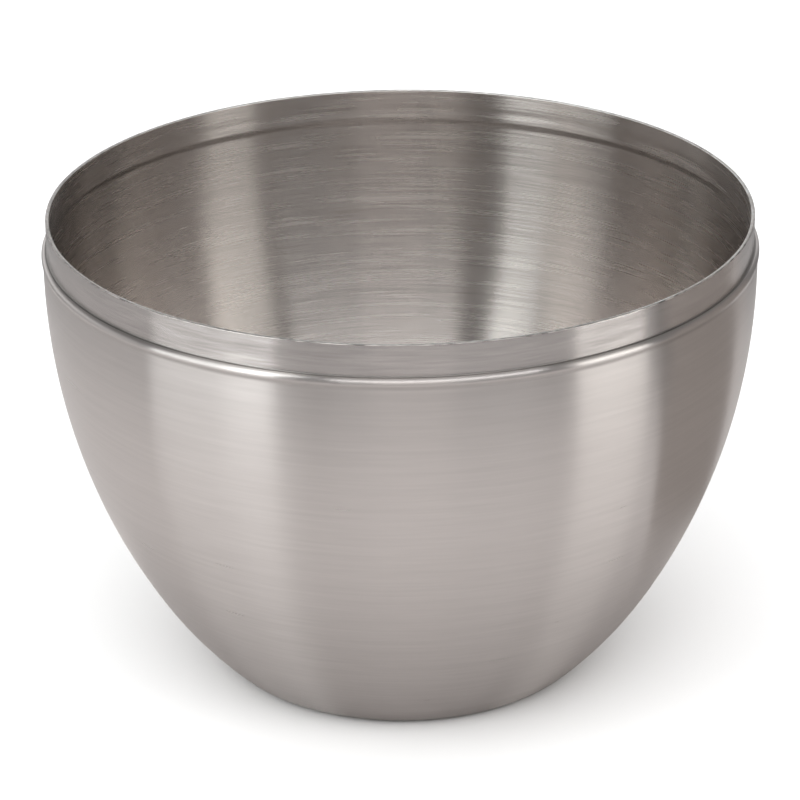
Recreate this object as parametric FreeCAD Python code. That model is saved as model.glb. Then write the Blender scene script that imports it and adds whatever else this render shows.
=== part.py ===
"""Brushed steel shaving bowl, drawn and spun from one round blank of sheet.

Frame: millimetres, +Z up, origin at the centre of the face that the bowl stands on.
The bowl is a surface of revolution about Z, so one section makes all of it. The section follows
the outside face of the sheet: from the rim down the neck, out over the bead, down the wall, round
the base edge and in along the underside to the axis. The inside face is the same path, one sheet
thickness further in.
"""
import FreeCAD, Part
import math
import os

# ---------------------------------------------------------------- driving dimensions, mm
HEIGHT = 71.0                # standing face to rim
BODY_DIAMETER = 105.0        # widest, across the bead
SHEET = 0.5                  # sheet thickness
RIM_BREAK = 0.12             # rounding of the two edges of the cut rim

NECK_HEIGHT = 4.5            # rim to crease, the seat for a slip-on lid
NECK_STEP = 0.8              # the neck is this much smaller in radius than the bead
CREASE_RADIUS = 0.2          # hollow corner under the neck, outside face
BEAD_INNER_RADIUS = 0.3      # bead, inside face
BEAD_PROUD = 0.2             # the bead stands out this much past the top of the wall
BEAD_HOLLOW_RADIUS = 1.2     # hollow under the bead, outside face

WALL_UPRIGHT = 1.7           # straight, upright top of the wall
WALL_TUCK = 3.5              # degrees, how much further the foot of the wall leans in than one even arc
UPPER_WALL_SHARE = 0.7       # part of the wall's whole turn that its long upper arc makes

BASE_DIAMETER = 51.2         # outside of the flat ring that the bowl stands on
BASE_EDGE_RADIUS = 4.0       # wall to base, outside face
BASE_RING_WIDTH = 3.0
BASE_RISE = 0.6              # the middle of the base is pressed up by this much
BASE_RISE_RADIUS = 2.0       # both bends of that rise, outside face

# ---------------------------------------------------------------- derived sizes
BODY_RADIUS = BODY_DIAMETER / 2
NECK_RADIUS = BODY_RADIUS - NECK_STEP
WALL_TOP_RADIUS = BODY_RADIUS - BEAD_PROUD
BASE_RADIUS = BASE_DIAMETER / 2
BEAD_RADIUS = BEAD_INNER_RADIUS + SHEET

DOWN = -math.pi / 2          # headings of the path, angles in the (radius, height) plane
INWARD = -math.pi


def section_point(radius, height):
    return FreeCAD.Vector(radius, 0, height)


class SheetPath:
    """Tangent runs and arcs of the outside face, with the inside face one sheet to the right."""

    def __init__(self, radius, height, heading):
        self.radius = radius
        self.height = height
        self.heading = heading
        self.outside = []
        self.inside = []

    def offset_point(self, radius, height, heading, depth):
        """The point that lies depth into the sheet from a point of the outside face."""
        return section_point(radius + depth * math.sin(heading), height - depth * math.cos(heading))

    def run(self, length):
        """A straight run along the present heading."""
        end_radius = self.radius + length * math.cos(self.heading)
        end_height = self.height + length * math.sin(self.heading)
        for face, depth in ((self.outside, 0.0), (self.inside, SHEET)):
            start = self.offset_point(self.radius, self.height, self.heading, depth)
            end = self.offset_point(end_radius, end_height, self.heading, depth)
            face.append(Part.LineSegment(start, end).toShape())
        self.radius = end_radius
        self.height = end_height

    def turn(self, bend_radius, heading):
        """An arc of the outside face that ends on a new heading."""
        side = 1 if heading > self.heading else -1
        centre_radius = self.radius - side * bend_radius * math.sin(self.heading)
        centre_height = self.height + side * bend_radius * math.cos(self.heading)

        def arc_point(angle, depth):
            return self.offset_point(centre_radius + side * bend_radius * math.sin(angle),
                                     centre_height - side * bend_radius * math.cos(angle),
                                     angle, depth)

        middle = (self.heading + heading) / 2
        for face, depth in ((self.outside, 0.0), (self.inside, SHEET)):
            points = [arc_point(angle, depth) for angle in (self.heading, middle, heading)]
            face.append(Part.Arc(*points).toShape())
        self.radius = centre_radius + side * bend_radius * math.sin(heading)
        self.height = centre_height - side * bend_radius * math.cos(heading)
        self.heading = heading

    def step(self, offset, first_radius, second_radius, turn_sign):
        """An S of two opposite bends that moves the path sideways and keeps its heading.

        turn_sign is +1 where the first bend turns left. A step too deep for the two bends alone
        gets a straight run between them.
        """
        heading = self.heading
        bends = first_radius + second_radius
        swing = math.acos(max(0.0, 1 - offset / bends))
        self.turn(first_radius, heading + turn_sign * swing)
        if offset > bends:
            self.run(offset - bends)
        self.turn(second_radius, heading)


def wall_arcs(top_height):
    """The wall's two arcs as (radius, heading at its end), tangent to the upright top of the wall
    and to the base edge."""
    even_turn = 2 * math.atan2(WALL_TOP_RADIUS - BASE_RADIUS - BASE_EDGE_RADIUS,
                               top_height - BASE_EDGE_RADIUS)
    foot = even_turn + math.radians(WALL_TUCK)
    knee = UPPER_WALL_SHARE * foot
    inset = WALL_TOP_RADIUS - BASE_RADIUS - BASE_EDGE_RADIUS * math.cos(foot)
    drop = top_height - BASE_EDGE_RADIUS * (1 - math.sin(foot))
    upper_inset = 1 - math.cos(knee)
    lower_inset = math.cos(knee) - math.cos(foot)
    upper_drop = math.sin(knee)
    lower_drop = math.sin(foot) - math.sin(knee)
    scale = upper_inset * lower_drop - lower_inset * upper_drop
    upper_radius = (inset * lower_drop - lower_inset * drop) / scale
    lower_radius = (upper_inset * drop - inset * upper_drop) / scale
    return (upper_radius, DOWN - knee), (lower_radius, DOWN - foot)


def follow_sheet():
    """The whole section, from just under the rim to the axis."""
    path = SheetPath(NECK_RADIUS, HEIGHT - RIM_BREAK, DOWN)
    path.run(NECK_HEIGHT - RIM_BREAK)
    path.step(NECK_STEP, CREASE_RADIUS, BEAD_RADIUS, turn_sign=1)
    path.step(BEAD_PROUD, BEAD_RADIUS, BEAD_HOLLOW_RADIUS, turn_sign=-1)
    path.run(WALL_UPRIGHT)
    for bend_radius, heading in wall_arcs(path.height):
        path.turn(bend_radius, heading)
    path.turn(BASE_EDGE_RADIUS, INWARD)
    path.run(BASE_RING_WIDTH)
    path.step(BASE_RISE, BASE_RISE_RADIUS, BASE_RISE_RADIUS, turn_sign=-1)
    path.run(path.radius)
    return path


def rim_edges():
    """The cut edge of the sheet, flat on top with both corners rounded, from inside to outside."""
    corner = RIM_BREAK * (1 - math.sqrt(0.5))
    shoulder = HEIGHT - RIM_BREAK
    inner = NECK_RADIUS - SHEET
    inner_arc = Part.Arc(section_point(inner, shoulder),
                         section_point(inner + corner, HEIGHT - corner),
                         section_point(inner + RIM_BREAK, HEIGHT))
    top = Part.LineSegment(section_point(inner + RIM_BREAK, HEIGHT),
                           section_point(NECK_RADIUS - RIM_BREAK, HEIGHT))
    outer_arc = Part.Arc(section_point(NECK_RADIUS - RIM_BREAK, HEIGHT),
                         section_point(NECK_RADIUS - corner, HEIGHT - corner),
                         section_point(NECK_RADIUS, shoulder))
    return [curve.toShape() for curve in (inner_arc, top, outer_arc)]


def bowl_shell():
    """The section turned once round the axis."""
    path = follow_sheet()
    on_axis = Part.LineSegment(section_point(0, path.height), section_point(0, path.height + SHEET))
    loop = path.outside + [on_axis.toShape()] + path.inside[::-1] + rim_edges()
    section = Part.Face(Part.Wire(Part.sortEdges(loop)[0]))
    axis_point = FreeCAD.Vector(0, 0, 0)
    axis = FreeCAD.Vector(0, 0, 1)
    return section.revolve(axis_point, axis, 360)


def export(nodes):
    os.makedirs("parts", exist_ok=True)
    for name, shape in nodes.items():
        shape.exportStep(f"parts/{name}.step")


export({"bowl_shell": bowl_shell()})
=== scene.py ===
"""The finished look of the shaving bowl: one spun sheet of brushed steel in a soft studio."""
import math

import bpy
import numpy as np
from mathutils import Matrix, Vector


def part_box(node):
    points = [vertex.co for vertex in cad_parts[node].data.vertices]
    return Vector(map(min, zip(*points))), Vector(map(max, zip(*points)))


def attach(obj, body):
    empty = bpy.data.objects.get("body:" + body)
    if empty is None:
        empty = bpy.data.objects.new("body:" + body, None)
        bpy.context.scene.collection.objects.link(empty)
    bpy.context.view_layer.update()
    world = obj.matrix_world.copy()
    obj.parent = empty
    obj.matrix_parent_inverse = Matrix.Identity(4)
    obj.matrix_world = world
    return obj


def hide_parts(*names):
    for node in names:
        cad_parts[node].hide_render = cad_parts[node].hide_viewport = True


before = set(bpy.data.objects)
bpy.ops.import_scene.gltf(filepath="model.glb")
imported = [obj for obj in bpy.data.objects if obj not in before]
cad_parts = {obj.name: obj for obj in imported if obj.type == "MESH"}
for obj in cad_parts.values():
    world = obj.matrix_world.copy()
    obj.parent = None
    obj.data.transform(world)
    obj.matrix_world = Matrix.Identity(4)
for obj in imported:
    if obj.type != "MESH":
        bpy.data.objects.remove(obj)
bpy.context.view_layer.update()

MM = 0.001
CAD_NODE = "bowl_shell"
cad_low, cad_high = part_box(CAD_NODE)

# ---------------------------------------------------------------- the bowl's sizes, metres
HEIGHT = cad_high.z
BODY_RADIUS = cad_high.x
SHEET = 0.5 * MM
RIM_BREAK = 0.12 * MM

NECK_HEIGHT = 4.5 * MM
NECK_STEP = 0.8 * MM
NECK_RADIUS = BODY_RADIUS - NECK_STEP
CREASE_RADIUS = 0.2 * MM
BEAD_RADIUS = 0.3 * MM + SHEET
BEAD_PROUD = 0.2 * MM
BEAD_HOLLOW_RADIUS = 1.2 * MM

WALL_TOP_RADIUS = BODY_RADIUS - BEAD_PROUD
WALL_UPRIGHT = 1.7 * MM
WALL_TUCK = math.radians(3.5)
UPPER_WALL_SHARE = 0.7

BASE_RADIUS = 25.6 * MM
BASE_EDGE_RADIUS = 4.0 * MM
BASE_RING_WIDTH = 3.0 * MM
BASE_RISE = 0.6 * MM
BASE_RISE_RADIUS = 2.0 * MM

DOWN = -math.pi / 2
INWARD = -math.pi

NECK_FOOT = HEIGHT - NECK_HEIGHT

# A faint line that the spinner's tool left round the inside of the neck.
TOOL_MARK_TOP = HEIGHT - 2.3 * MM
TOOL_MARK_DEPTH = 0.04 * MM
TOOL_MARK_SLOPE = 0.9 * MM       # height over which the wall steps outward
TOOL_MARK_RETURN = 1.2 * MM      # height over which it comes back below

# The inside face's soft step from the neck out to the wall.
INNER_STEP_TOP = NECK_FOOT - 0.05 * MM
INNER_STEP_HEIGHT = 1.3 * MM

# The hollow just under the bead, where the steel is painted darker: painted shade in the hollow.
HOLLOW_HEIGHT = NECK_FOOT - 1.5 * MM
HOLLOW_HALF_WIDTH = 0.55 * MM
HOLLOW_SHADE_LOSS = 0.26

# ---------------------------------------------------------------- mesh fineness
SPOKES = 480
LONGEST_STEP = 1.2 * MM
LARGEST_BEND = math.radians(9)
SUPPORT = 0.06 * MM          # distance of the extra ring that holds a run straight up to its bend


class SheetPath:
    """The outside face of the sheet as closely spaced points, each with the normal out of it."""

    def __init__(self, radius, height, heading):
        self.point = np.array([radius, height])
        self.heading = heading
        self.points = [self.point]
        self.headings = [heading]

    def _add(self, point, heading):
        self.points.append(point)
        self.headings.append(heading)

    def run(self, length):
        """A straight run, with extra points close to its two ends."""
        direction = np.array([math.cos(self.heading), math.sin(self.heading)])
        inner = np.linspace(SUPPORT, length - SUPPORT, 2 + int(length / LONGEST_STEP))
        for distance in [*inner, length]:
            self._add(self.point + direction * distance, self.heading)
        self.point = self.points[-1]

    def turn(self, bend_radius, heading):
        """An arc that ends on a new heading."""
        side = 1 if heading > self.heading else -1
        centre = self.point + side * bend_radius * np.array([-math.sin(self.heading),
                                                             math.cos(self.heading)])
        angle = abs(heading - self.heading)
        steps = math.ceil(max(angle / LARGEST_BEND, angle * bend_radius / LONGEST_STEP))
        for step_heading in np.linspace(self.heading, heading, steps + 1)[1:]:
            offset = side * bend_radius * np.array([math.sin(step_heading), -math.cos(step_heading)])
            self._add(centre + offset, step_heading)
        self.point = self.points[-1]
        self.heading = heading

    def step(self, offset, first_radius, second_radius, turn_sign):
        """An S of two opposite bends that moves the path sideways and keeps its heading."""
        heading = self.heading
        swing = math.acos(1 - offset / (first_radius + second_radius))
        self.turn(first_radius, heading + turn_sign * swing)
        self.turn(second_radius, heading)

    def faces(self):
        """The outside face's points and the inside face's points, one sheet thickness apart."""
        outside = np.array(self.points)
        headings = np.array(self.headings)
        into_sheet = np.stack([np.sin(headings), -np.cos(headings)], axis=1)
        return outside, outside + SHEET * into_sheet


def wall_arcs(top_height):
    """The wall's two arcs as (radius, heading at its end), as in the CAD model."""
    even_turn = 2 * math.atan2(WALL_TOP_RADIUS - BASE_RADIUS - BASE_EDGE_RADIUS,
                               top_height - BASE_EDGE_RADIUS)
    foot = even_turn + WALL_TUCK
    knee = UPPER_WALL_SHARE * foot
    inset = WALL_TOP_RADIUS - BASE_RADIUS - BASE_EDGE_RADIUS * math.cos(foot)
    drop = top_height - BASE_EDGE_RADIUS * (1 - math.sin(foot))
    shares = np.array([[1 - math.cos(knee), math.cos(knee) - math.cos(foot)],
                       [math.sin(knee), math.sin(foot) - math.sin(knee)]])
    upper_radius, lower_radius = np.linalg.solve(shares, [inset, drop])
    return (upper_radius, DOWN - knee), (lower_radius, DOWN - foot)


def sheet_faces():
    """The outside and the inside face of the section, both from the rim to the axis."""
    path = SheetPath(NECK_RADIUS, HEIGHT - RIM_BREAK, DOWN)
    path.run(NECK_HEIGHT - RIM_BREAK)
    path.step(NECK_STEP, CREASE_RADIUS, BEAD_RADIUS, turn_sign=1)
    path.step(BEAD_PROUD, BEAD_RADIUS, BEAD_HOLLOW_RADIUS, turn_sign=-1)
    path.run(WALL_UPRIGHT)
    for bend_radius, heading in wall_arcs(path.point[1]):
        path.turn(bend_radius, heading)
    path.turn(BASE_EDGE_RADIUS, INWARD)
    path.run(BASE_RING_WIDTH)
    path.step(BASE_RISE, BASE_RISE_RADIUS, BASE_RISE_RADIUS, turn_sign=-1)
    path.run(path.point[0])
    outside, inside = path.faces()
    return outside, with_tool_mark(with_soft_step(inside))


def with_soft_step(inside):
    """Eases the inside face from the neck out to the wall, without a groove behind the bead."""
    way_down = np.linspace(0, 1, 17)
    wall_radius = WALL_TOP_RADIUS - SHEET
    heights = INNER_STEP_TOP - INNER_STEP_HEIGHT * way_down
    ease = (1 - np.cos(math.pi * way_down)) / 2
    radii = NECK_RADIUS - SHEET + (wall_radius - NECK_RADIUS + SHEET) * ease
    above = inside[inside[:, 1] > heights[0]]
    below = inside[inside[:, 1] < heights[-1]]
    below[:, 0] = np.minimum(below[:, 0], wall_radius)
    return np.vstack([above, np.stack([radii, heights], axis=1), below])


def with_tool_mark(inside):
    """Adds the line that the spinner's tool left round the inside of the neck.

    The wall steps outward over a short height, then comes back slowly below.
    """
    way_down = np.linspace(0, 1, 7)
    slope = TOOL_MARK_TOP - TOOL_MARK_SLOPE * way_down
    slow_return = slope[-1] - TOOL_MARK_RETURN * way_down[1:]
    ease = (1 - np.cos(math.pi * way_down)) / 2
    depths = TOOL_MARK_DEPTH * np.concatenate([ease, 1 - ease[1:]])
    heights = np.concatenate([slope, slow_return])
    mark = np.stack([NECK_RADIUS - SHEET + depths, heights], axis=1)
    above = inside[inside[:, 1] > heights[0]]
    below = inside[inside[:, 1] < heights[-1]]
    return np.vstack([above, mark, below])


def rim_section():
    """The cut edge over the top of the sheet, from inside to outside, corners rounded."""
    angles = np.linspace(0, math.pi / 2, 5)[1:-1]
    inner_centre = NECK_RADIUS - SHEET + RIM_BREAK
    outer_centre = NECK_RADIUS - RIM_BREAK
    level = HEIGHT - RIM_BREAK
    inner = [(inner_centre - RIM_BREAK * math.cos(a), level + RIM_BREAK * math.sin(a)) for a in angles]
    outer = [(outer_centre + RIM_BREAK * math.sin(a), level + RIM_BREAK * math.cos(a)) for a in angles]
    flat = [(inner_centre, HEIGHT), (outer_centre, HEIGHT)]
    return np.array(inner + flat + outer)


# The finishes, in the order of the bowl's material slots; the crease's slot is darker steel, painted
# shade.
OUTSIDE, NECK, CREASE_SHADE, INSIDE, RIM, BURR = range(6)
BURR_POINTS = 3              # points of the rim's outer corner that carry the burr


# Slow swells of the spun sheet: size in millimetres, swells round the bowl, start angle, and
# the angle that each swell drifts by for every metre along the wall.
SWELLS = [(0.022, 3, 1.1, 35), (0.016, 7, 0.4, -60), (0.010, 13, 2.3, 90), (0.006, 23, 0.9, -140)]


def hand_of_the_spinner(angle, along):
    """Radial waviness that a spun sheet keeps, at an angle round the axis and a length along."""
    return MM * sum(size * np.sin(count * angle + start + drift * along)
                    for size, count, start, drift in SWELLS)


def outside_kind(height):
    """Which finish the outside has just below this height; the crease's finish is painted shade."""
    if height > NECK_FOOT:
        return NECK
    return CREASE_SHADE if height > NECK_FOOT - CREASE_RADIUS else OUTSIDE


def build_bowl():
    """The closed sheet as one mesh, with the finish of each face chosen by its ring."""
    outside, inside = sheet_faces()
    rim = rim_section()
    loop = np.vstack([outside[:-1], inside[-2::-1], rim])
    kinds = [outside_kind(height) for _, height in outside[:-1]]
    kinds += [INSIDE] * (len(inside) - 1) + [RIM] * (len(rim) - BURR_POINTS) + [BURR] * BURR_POINTS
    angles = np.linspace(0, 2 * math.pi, SPOKES, endpoint=False)
    radii = loop[:, :1] + hand_of_the_spinner(angles[None, :], loop[:, 1:] + loop[:, :1])
    rings = np.stack([radii * np.cos(angles), radii * np.sin(angles),
                      np.repeat(loop[:, 1:], SPOKES, axis=1)], axis=2)
    verts = rings.reshape(-1, 3).tolist()
    under_pole = len(verts)
    inner_pole = under_pole + 1
    verts += [(0, 0, outside[-1][1]), (0, 0, inside[-1][1])]

    faces = []
    materials = []
    last_outside = len(outside) - 2
    ring_count = len(loop)
    for ring in range(ring_count):
        following = (ring + 1) % ring_count
        for spoke in range(SPOKES):
            side = (spoke + 1) % SPOKES
            a, b = ring * SPOKES + spoke, ring * SPOKES + side
            c, d = following * SPOKES + side, following * SPOKES + spoke
            if ring == last_outside:
                faces += [(a, under_pole, b), (d, c, inner_pole)]
                materials += [OUTSIDE, INSIDE]
            else:
                faces.append((a, d, c, b))
                past_wall = ring > last_outside
                materials.append(max(kinds[ring], kinds[following]) if past_wall else kinds[ring])
    mesh = bpy.data.meshes.new("brushed_bowl")
    mesh.from_pydata(verts, [], faces)
    mesh.polygons.foreach_set("material_index", materials)
    mesh.polygons.foreach_set("use_smooth", [True] * len(faces))
    mesh.update()
    bowl = bpy.data.objects.new("brushed_bowl", mesh)
    bpy.context.scene.collection.objects.link(bowl)
    return bowl


# ---------------------------------------------------------------- materials
class Nodes:
    """Short calls for building one material's node tree."""

    def __init__(self, material):
        material.use_nodes = True
        self.tree = material.node_tree
        self.tree.nodes.clear()

    def node(self, kind, settings=(), **inputs):
        node = self.tree.nodes.new(kind)
        for name, value in dict(settings).items():
            setattr(node, name, value)
        for name, value in inputs.items():
            self.feed(node, name.replace("_", " "), value)
        return node

    def feed(self, node, name, value):
        socket = node.inputs[int(name)] if name.isdigit() else node.inputs[name]
        if isinstance(value, bpy.types.NodeSocket):
            self.tree.links.new(value, socket)
        else:
            socket.default_value = value

    def math(self, operation, *values):
        node = self.tree.nodes.new("ShaderNodeMath")
        node.operation = operation
        for index, value in enumerate(values):
            self.feed(node, str(index), value)
        return node.outputs[0]


def grain(nodes, line_width, line_length, seed):
    """Noise drawn out round the bowl: lines line_width across and about line_length long."""
    place = nodes.node("ShaderNodeTexCoord").outputs["Object"]
    parts = nodes.node("ShaderNodeSeparateXYZ", Vector=place)
    flat = nodes.node("ShaderNodeCombineXYZ", X=parts.outputs["X"], Y=parts.outputs["Y"]).outputs[0]
    radius = nodes.node("ShaderNodeVectorMath", {"operation": "LENGTH"})
    nodes.feed(radius, "0", flat)
    outward = nodes.node("ShaderNodeVectorMath", {"operation": "NORMALIZE"})
    nodes.feed(outward, "0", flat)
    around = nodes.node("ShaderNodeVectorMath", {"operation": "SCALE"})
    nodes.feed(around, "0", outward.outputs[0])
    around.inputs["Scale"].default_value = BODY_RADIUS / line_length
    along = nodes.math("ADD", parts.outputs["Z"], radius.outputs["Value"])
    steps = nodes.math("MULTIPLY", along, 1 / line_width)
    across = nodes.node("ShaderNodeCombineXYZ", Z=steps).outputs[0]
    lookup = nodes.node("ShaderNodeVectorMath", {"operation": "ADD"})
    nodes.feed(lookup, "0", around.outputs[0])
    nodes.feed(lookup, "1", across)
    noise = nodes.node("ShaderNodeTexNoise", {"noise_dimensions": "4D"}, Vector=lookup.outputs[0],
                       W=seed, Scale=1.0, Detail=0.0)
    return noise.outputs["Fac"]


def dull_band(nodes, height, half_width, loss):
    """A factor of 1, less by loss on a soft ring at one height of the bowl, for painted shade."""
    place = nodes.node("ShaderNodeTexCoord").outputs["Object"]
    level = nodes.node("ShaderNodeSeparateXYZ", Vector=place).outputs["Z"]
    away = nodes.math("ABSOLUTE", nodes.math("SUBTRACT", level, height))
    fade = nodes.node("ShaderNodeMapRange", {"interpolation_type": "SMOOTHSTEP"}, Value=away,
                      From_Min=0.0, From_Max=half_width, To_Min=1.0 - loss, To_Max=1.0)
    return fade.outputs["Result"]


GRAIN_TURN = 0.25            # quarter turn: the highlight spreads across the grain
ROUGHNESS_PER_TONE = 0.35    # how much rougher the steel is where the grain is lighter


def brushed_steel(name, colour, roughness, anisotropy, lines, seed, shade_hollow=False):
    """Steel with its grain running round the axis.

    lines is a list of (width, length, change of tone, depth). The last argument paints shade into
    the steel, darker in the hollow just under the bead.
    """
    material = bpy.data.materials.new(name)
    nodes = Nodes(material)
    tone = 1.0
    height = 0.0
    for index, (width, length, contrast, depth) in enumerate(lines):
        line = nodes.math("SUBTRACT", grain(nodes, width, length, seed=3.7 * index + seed), 0.5)
        tone = nodes.math("MULTIPLY_ADD", line, 2 * contrast, tone)
        height = nodes.math("MULTIPLY_ADD", line, 2 * depth / MM, height)
    rough = nodes.math("MULTIPLY_ADD", nodes.math("SUBTRACT", tone, 1.0), ROUGHNESS_PER_TONE, roughness)
    # Painted shade: the steel is darker on a soft band in the hollow under the bead.
    if shade_hollow:
        band = dull_band(nodes, HOLLOW_HEIGHT, HOLLOW_HALF_WIDTH, HOLLOW_SHADE_LOSS)
        tone = nodes.math("MULTIPLY", tone, band)
    shade = nodes.node("ShaderNodeVectorMath", {"operation": "SCALE"})
    shade.inputs[0].default_value = colour
    nodes.feed(shade, "Scale", tone)
    bump = nodes.node("ShaderNodeBump", Strength=1.0, Distance=MM, Height=height)
    tangent = nodes.node("ShaderNodeTangent", {"direction_type": "RADIAL", "axis": "Z"})
    shader = nodes.node("ShaderNodeBsdfPrincipled")
    nodes.feed(shader, "Base Color", shade.outputs[0])
    nodes.feed(shader, "Roughness", rough)
    nodes.feed(shader, "Normal", bump.outputs[0])
    nodes.feed(shader, "Tangent", tangent.outputs[0])
    shader.inputs["Metallic"].default_value = 1.0
    shader.inputs["Anisotropic"].default_value = anisotropy
    shader.inputs["Anisotropic Rotation"].default_value = GRAIN_TURN
    output = nodes.node("ShaderNodeOutputMaterial")
    nodes.feed(output, "Surface", shader.outputs[0])
    return material


STEEL = (0.57, 0.535, 0.52)
INNER_STEEL = (0.63, 0.59, 0.563)
# Steel of the cut rim, lighter than steel can be: a painted highlight along the lip.
CUT_STEEL_WITH_HIGHLIGHT = (0.88, 0.855, 0.835)
# Darker steel for the crease under the neck: painted shade in the crease.
PAINTED_SHADE_STEEL = (0.26, 0.245, 0.235)
BURR_STEEL = (0.48, 0.45, 0.435)


def finish_bowl(bowl):
    """The six finishes, in slot order. Each list row is one kind of line in the brushing."""
    # The outside carries painted shade in the hollow under the bead.
    outside = brushed_steel("satin_outside", STEEL, roughness=0.29, anisotropy=1.0, seed=0.0,
                            lines=[(0.3 * MM, 6 * MM, 0.035, 0.0008 * MM),
                                   (0.7 * MM, 20 * MM, 0.05, 0.006 * MM)], shade_hollow=True)
    neck = brushed_steel("turned_neck", STEEL, roughness=0.23, anisotropy=1.0, seed=5.0,
                         lines=[(0.3 * MM, 5 * MM, 0.09, 0.002 * MM),
                                (1.0 * MM, 14 * MM, 0.07, 0.006 * MM)])
    inside = brushed_steel("brushed_inside", INNER_STEEL, roughness=0.26, anisotropy=1.0, seed=9.0,
                           lines=[(0.3 * MM, 12 * MM, 0.12, 0.002 * MM),
                                  (1.2 * MM, 50 * MM, 0.05, 0.002 * MM)])
    # The cut rim: rougher steel, painted lighter as a highlight along the lip.
    edge = brushed_steel("cut_rim_highlight", CUT_STEEL_WITH_HIGHLIGHT, roughness=0.6, anisotropy=0.0, seed=17.0,
                         lines=[(0.5 * MM, 0.8 * MM, 0.30, 0.02 * MM),
                                (1.0 * MM, 6 * MM, 0.30, 0.0)])
    # The crease under the neck: darker steel, painted shade in the crease.
    crease = brushed_steel("crease_painted_shade", PAINTED_SHADE_STEEL, roughness=0.4, anisotropy=0.5, seed=21.0,
                           lines=[(0.3 * MM, 4 * MM, 0.2, 0.0)])
    burr = brushed_steel("rim_burr", BURR_STEEL, roughness=0.35, anisotropy=0.0, seed=29.0,
                         lines=[(0.5 * MM, 1.5 * MM, 0.9, 0.0)])
    for material in (outside, neck, crease, inside, edge, burr):
        bowl.data.materials.append(material)


# ---------------------------------------------------------------- studio
WHITE = (1, 1, 1)
COOL = (0.975, 1.007, 1.003)
WARM = (1.005, 1.0, 0.965)
PEACH = (1.04, 0.96, 0.92)


def panel_light(name, centre, facing, width, height, radiance, tint=WHITE):
    """An even rectangular light at centre that shines along the direction facing."""
    light = bpy.data.lights.new(name, "AREA")
    light.shape = "RECTANGLE"
    light.size = width
    light.size_y = height
    light.energy = radiance * math.pi * width * height
    light.color = tint
    lamp = bpy.data.objects.new(name, light)
    lamp.location = centre
    lamp.rotation_euler = (-facing).to_track_quat("Z", "Y").to_euler()
    lamp.visible_camera = False
    bpy.context.scene.collection.objects.link(lamp)
    return lamp


def softbox(name, azimuths, distance, heights, radiance, tint=WHITE):
    """An upright panel between two azimuths as seen from the bowl, and between two heights.

    Azimuths are in degrees, 0 towards the camera and positive to its right hand.
    """
    middle = math.radians(sum(azimuths) / 2)
    half_angle = math.radians(abs(azimuths[1] - azimuths[0]) / 2)
    outward = Vector((math.sin(middle), -math.cos(middle), 0))
    centre = outward * distance + Vector((0, 0, sum(heights) / 2))
    width = 2 * distance * math.tan(half_angle)
    panel_light(name, centre, -outward, width, heights[1] - heights[0], radiance, tint)


def plain_material(name, kind, colour):
    """A material of one plain shader, either diffuse or emission."""
    material = bpy.data.materials.new(name)
    nodes = Nodes(material)
    shader = nodes.node(kind, Color=(*colour, 1.0))
    output = nodes.node("ShaderNodeOutputMaterial")
    nodes.feed(output, "Surface", shader.outputs[0])
    return material


def stage_mesh(name, points, faces, colour, kind="ShaderNodeBsdfDiffuse"):
    """A plain piece of the studio that isn't part of the object."""
    mesh = bpy.data.meshes.new(name)
    mesh.from_pydata(points, [], faces)
    mesh.materials.append(plain_material(name, kind, colour))
    piece = bpy.data.objects.new(name, mesh)
    bpy.context.scene.collection.objects.link(piece)
    return piece


def only_in_reflections(piece):
    """Hides a piece from the camera and from diffuse light, and lets it throw no shadow."""
    piece.visible_camera = False
    piece.visible_diffuse = False
    piece.visible_shadow = False


def flag(name, azimuths, near, far, top, colour):
    """A dark card that only reflections see, painted shade: it lies from near to far where the bowl's
    shadow falls, then stands up to top.
    """
    points = []
    for azimuth in azimuths:
        turn = math.radians(azimuth)
        outward = Vector((math.sin(turn), -math.cos(turn), 0))
        lift = Vector((0, 0, 0.1 * MM))
        points += [outward * near + lift, outward * far + lift, outward * far + Vector((0, 0, top))]
    card = stage_mesh(name, points, [(0, 1, 4, 3), (1, 2, 5, 4)], colour)
    only_in_reflections(card)


def circle(radius, height, count=96):
    """Points round a level circle about the bowl's axis."""
    angles = [2 * math.pi * step / count for step in range(count)]
    return [(radius * math.cos(angle), radius * math.sin(angle), height) for angle in angles]


FLOOR_RADIUS = 0.7
FLOOR_LEVEL = -0.02 * MM
FLOOR_COLOUR = (0.9, 0.9, 0.9)
TABLE_RADIUS = 0.19
TABLE_LEVEL = -0.01 * MM
# The table sheet is a darker copy of the pale floor that only reflections see: painted shade.
TABLE_SHADED_COLOUR = (0.60, 0.577, 0.568)
TABLE_NEAR = (0.040, 0.080)          # distance from the axis over which the change dies away
TABLE_BACK = (0.0, 0.030)            # depth behind the axis over which front turns into back
# Painted shadow of the bowl close in front, painted light close behind.
TABLE_SHADE_AND_LIGHT = (-0.24, 0.40)         # change of brightness close to the bowl, in front and behind

BACKDROP_RADIUS = 3.0
BACKDROP_FOOT = -1.5
BACKDROP_TOP = 3.0


def build_floor():
    """A pale round floor, and on it the smaller, darker sheet that the steel's reflections see: painted
    shade, with painted shadow and light near the bowl.
    """
    floor_rim = circle(FLOOR_RADIUS, FLOOR_LEVEL)
    floor = stage_mesh("floor", floor_rim, [range(len(floor_rim))], FLOOR_COLOUR)
    floor.visible_glossy = False
    sheet_rim = circle(TABLE_RADIUS, TABLE_LEVEL)
    sheet = stage_mesh("table_sheet", sheet_rim, [range(len(sheet_rim))], TABLE_SHADED_COLOUR)
    shade_near_the_bowl(sheet.data.materials[0])
    only_in_reflections(sheet)


def smooth_change(tree, value, start_and_end, low_and_high):
    """A soft change from low to high while value goes from start to end."""
    change = tree.nodes.new("ShaderNodeMapRange")
    change.interpolation_type = "SMOOTHSTEP"
    change.inputs["From Min"].default_value, change.inputs["From Max"].default_value = start_and_end
    change.inputs["To Min"].default_value, change.inputs["To Max"].default_value = low_and_high
    tree.links.new(value, change.inputs["Value"])
    return change.outputs["Result"]


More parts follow.
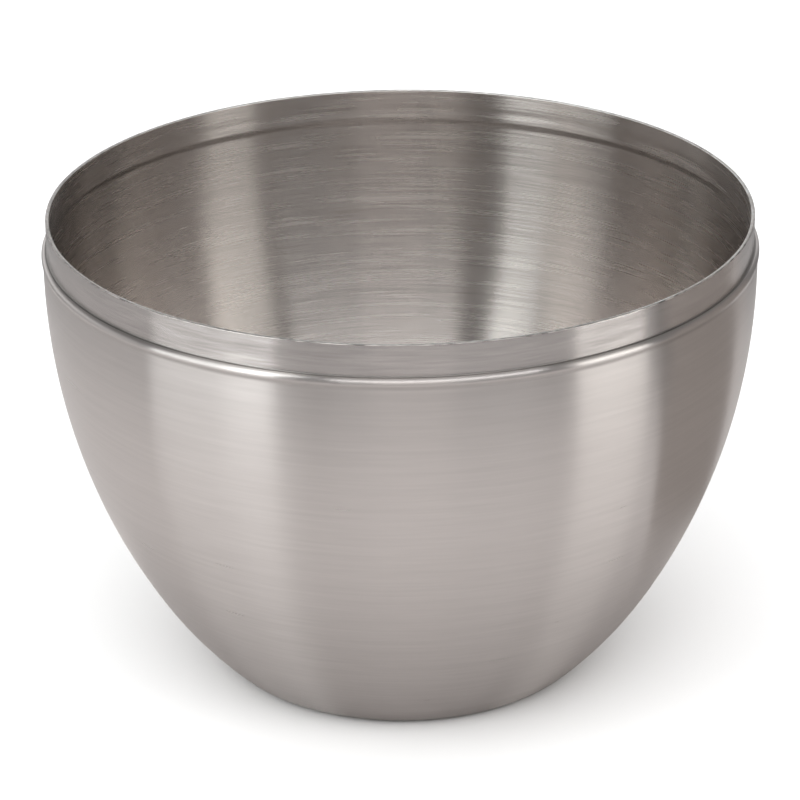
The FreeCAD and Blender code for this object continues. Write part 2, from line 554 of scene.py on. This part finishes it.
def shade_near_the_bowl(material):
    """Paints shadow into the table sheet close to the bowl in front, and paints light into it close
    behind.
    """
    tree = material.node_tree
    place = tree.nodes.new("ShaderNodeTexCoord").outputs["Object"]
    reach = tree.nodes.new("ShaderNodeVectorMath")
    reach.operation = "LENGTH"
    tree.links.new(place, reach.inputs[0])
    depth = tree.nodes.new("ShaderNodeSeparateXYZ")
    tree.links.new(place, depth.inputs["Vector"])
    factor = tree.nodes.new("ShaderNodeMath")
    factor.operation = "MULTIPLY_ADD"
    nearness = smooth_change(tree, reach.outputs["Value"], TABLE_NEAR, (1.0, 0.0))
    tree.links.new(nearness, factor.inputs[0])
    tree.links.new(smooth_change(tree, depth.outputs["Y"], TABLE_BACK, TABLE_SHADE_AND_LIGHT), factor.inputs[1])
    factor.inputs[2].default_value = 1.0
    shader = tree.nodes["Diffuse BSDF"]
    shaded = tree.nodes.new("ShaderNodeVectorMath")
    shaded.operation = "SCALE"
    shaded.inputs[0].default_value = shader.inputs["Color"].default_value[:3]
    tree.links.new(factor.outputs[0], shaded.inputs["Scale"])
    tree.links.new(shaded.outputs[0], shader.inputs["Color"])


def build_backdrop():
    """A bright paper wall all round the studio, for the camera only."""
    foot = circle(BACKDROP_RADIUS, BACKDROP_FOOT)
    top = circle(BACKDROP_RADIUS, BACKDROP_TOP)
    count = len(foot)
    faces = [range(count), range(count, 2 * count)]
    for side in range(count):
        following = (side + 1) % count
        faces.append((side, following, count + following, count + side))
    backdrop = stage_mesh("backdrop", foot + top, faces, WHITE, "ShaderNodeEmission")
    backdrop.visible_diffuse = False
    backdrop.visible_glossy = False
    backdrop.visible_shadow = False


def build_world(level):
    """An even grey light from all round."""
    world = bpy.data.worlds.new("studio")
    bpy.context.scene.world = world
    world.use_nodes = True
    background = world.node_tree.nodes["Background"]
    background.inputs["Color"].default_value = (level, level, level, 1)
    background.inputs["Strength"].default_value = 1.0


def build_camera():
    """Looks at the mouth from the front and above, then tilts down to frame the whole bowl."""
    camera_data = bpy.data.cameras.new("camera")
    camera_data.sensor_width = 36.0
    camera_data.lens = 158.93
    camera = bpy.data.objects.new("camera", camera_data)
    elevation = math.radians(20.985)
    extra_tilt = math.radians(3.15)
    roll = math.radians(0.60)
    turn = math.radians(0.036)
    distance = 0.517
    mouth = Vector((0, 0, HEIGHT))
    camera.location = mouth + distance * Vector((0, -math.cos(elevation), math.sin(elevation)))
    aim = (Matrix.Rotation(turn, 4, "Z")
           @ Matrix.Rotation(math.pi / 2 - elevation - extra_tilt, 4, "X")
           @ Matrix.Rotation(-roll, 4, "Z"))
    camera.matrix_world = Matrix.Translation(camera.location) @ aim
    bpy.context.scene.collection.objects.link(camera)
    bpy.context.scene.camera = camera


build_camera()
build_floor()
build_backdrop()
build_world(level=0.24)
softbox("left_low_strip", (-78.5, -54), 0.52, (0, 0.12), radiance=3.0, tint=COOL)
softbox("left_softbox", (-78.5, -54), 0.52, (0.12, 0.90), radiance=1.4, tint=COOL)
softbox("left_low_edge", (-54, -37.6), 0.52, (0, 0.12), radiance=3.0, tint=COOL)
softbox("left_softbox_edge", (-54, -37.6), 0.52, (0.12, 0.90), radiance=3.6, tint=COOL)
softbox("right_softbox", (52, 76), 0.45, (0.10, 0.38), radiance=1.8, tint=WARM)
softbox("right_low_strip", (52, 76), 0.45, (0, 0.10), radiance=3.7, tint=WARM)
softbox("rear_left_panel", (-175, -84), 0.9, (0, 0.32), radiance=0.95)
softbox("rear_right_panel", (148, 178), 0.9, (0, 0.45), radiance=0.5)
softbox("front_panel", (-9, 15), 1.6, (0, 1.0), radiance=0.5, tint=PEACH)
panel_light("front_fill", centre=Vector((0.19, -0.88, 0.95)), facing=Vector((-0.19, 0.88, -0.9)),
            width=1.36, height=0.5, radiance=3.1)
overhead = panel_light("overhead", centre=Vector((0, 0, 1.2)), facing=Vector((0, 0, -1)),
                       width=2.4, height=2.4, radiance=1.5)
overhead.visible_glossy = False
# Painted shade on the right: a dark card that lies where the bowl's shadow falls and only reflections
# see.
flag("right_shade_card", (77, 118), 0.07, 0.15, top=0.12, colour=(0.30, 0.275, 0.26))
bpy.context.scene.view_settings.view_transform = "Standard"

bowl = build_bowl()
finish_bowl(bowl)
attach(bowl, "root")
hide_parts(CAD_NODE)
